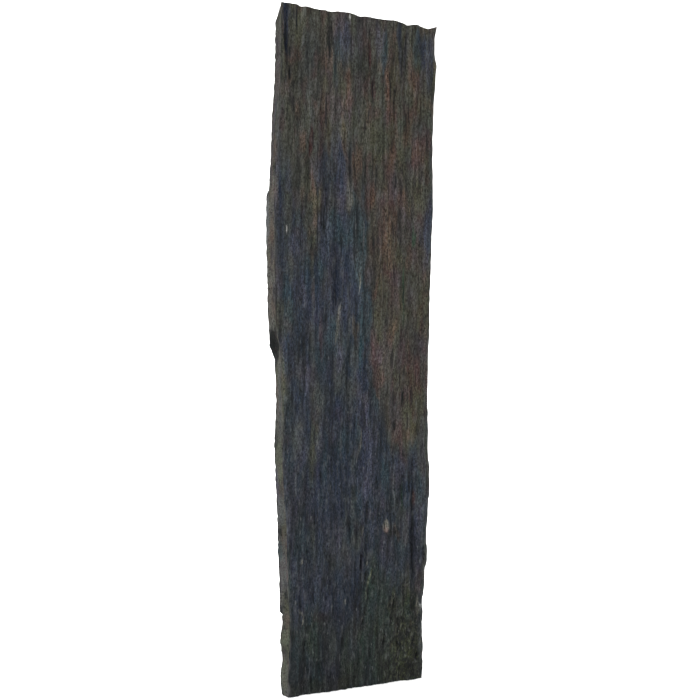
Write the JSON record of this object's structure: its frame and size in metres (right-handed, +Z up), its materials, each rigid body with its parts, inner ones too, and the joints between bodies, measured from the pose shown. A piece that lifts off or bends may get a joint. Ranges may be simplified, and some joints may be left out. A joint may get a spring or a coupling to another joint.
{
  "type": "slate slab",
  "caption": "Tall riven slate slab with a broken head, dressed edges and a flat sawn foot that it stands on.",
  "frame": {"origin": "middle of the slab's box on the plane of the sawn foot", "axes": "+Z up along the slab's length, the riven front face looks towards -Y, width along X, thickness along Y"},
  "size_m": [0.2688, 0.0398, 1],
  "materials": {
    "slate": "riven dark blue-grey slate with rust streaks, matt to faintly satin"
  },
  "bodies": {
    "root": {"slate_slab": "slate"}
  },
  "joints": []
}
